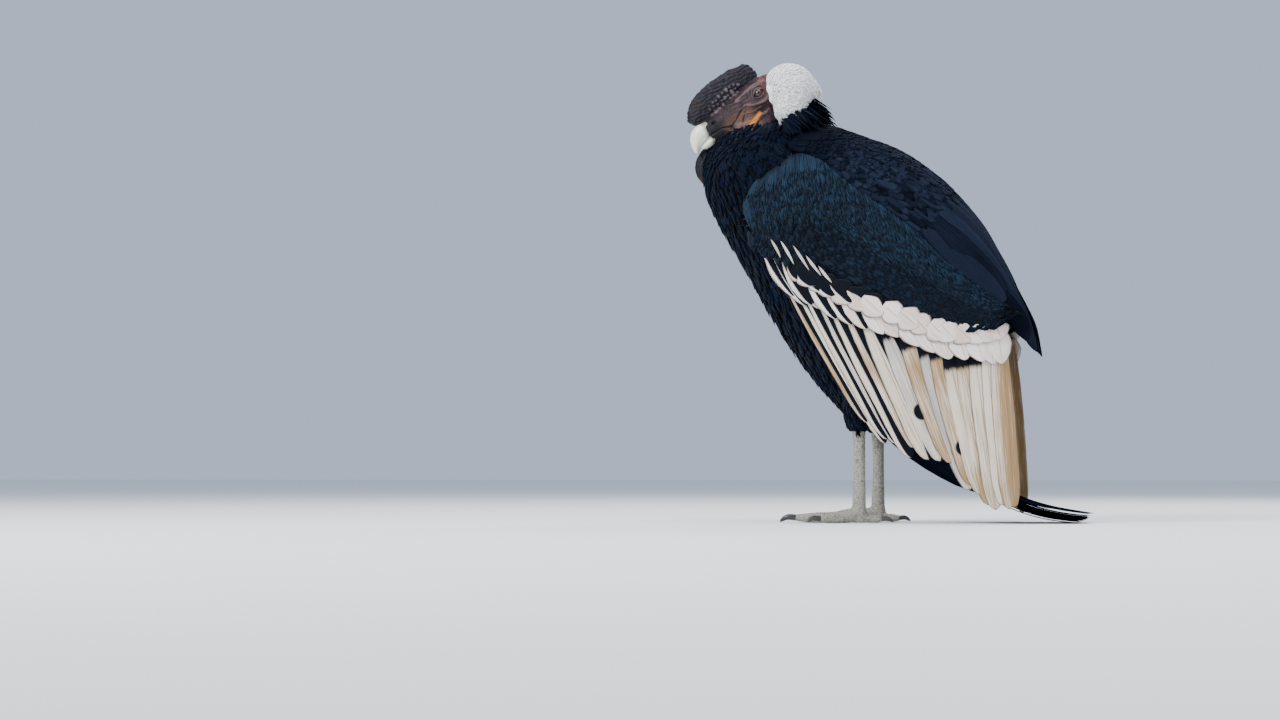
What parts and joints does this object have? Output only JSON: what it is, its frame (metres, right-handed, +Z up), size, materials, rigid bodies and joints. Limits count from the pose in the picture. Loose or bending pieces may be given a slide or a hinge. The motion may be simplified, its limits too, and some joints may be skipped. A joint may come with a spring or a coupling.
{
  "type": "condor model",
  "caption": "Life-size still model of a male Andean condor standing at rest with folded wings, a white ruff, a fleshy comb and its head drawn in.",
  "frame": {"origin": "on the floor, under the middle of the bounding box", "axes": "+Z up; the bird faces -X, its left side is towards -Y"},
  "size_m": [0.6446, 0.3046, 0.744],
  "materials": {
    "black_feathers": "near-black feathers with a faint blue cast",
    "slate_feathers": "blue-black wing feathers with fine pale edges",
    "white_feathers": "off-white outer vanes, grey to black towards the inner edge",
    "white_down": "loose pure white down",
    "face_skin": "bare wrinkled skin, dusky pinkish brown",
    "comb_skin": "fleshy comb, dark purplish grey",
    "ivory_bill": "horn, ivory with a faint green cast",
    "eye": "wet dark brown eye",
    "leg_skin": "scaly skin, chalky grey",
    "claw": "dark blunt horn"
  },
  "bodies": {
    "root": {"bill_lower": "ivory_bill", "bill_upper": "ivory_bill", "claw_hind_left": "claw", "claw_hind_right": "claw", "claw_inner_left": "claw", "claw_inner_right": "claw", "claw_middle_left": "claw", "claw_middle_right": "claw", "claw_outer_left": "claw", "claw_outer_right": "claw", "comb": "comb_skin", "coverts_left": "white_feathers", "coverts_right": "white_feathers", "eye_left": "eye", "eye_right": "eye", "foot_left": "leg_skin", "foot_right": "leg_skin", "head": "face_skin", "neck": "face_skin", "primaries_left": "black_feathers", "primaries_right": "black_feathers", "ruff": "white_down", "scapulars_left": "slate_feathers", "scapulars_right": "slate_feathers", "secondaries_left": "white_feathers", "secondaries_right": "white_feathers", "tail": "black_feathers", "tarsus_left": "leg_skin", "tarsus_right": "leg_skin", "thigh_left": "black_feathers", "thigh_right": "black_feathers", "trunk": "black_feathers", "wattle": "face_skin", "wing_left": "slate_feathers", "wing_right": "slate_feathers"}
  },
  "joints": []
}
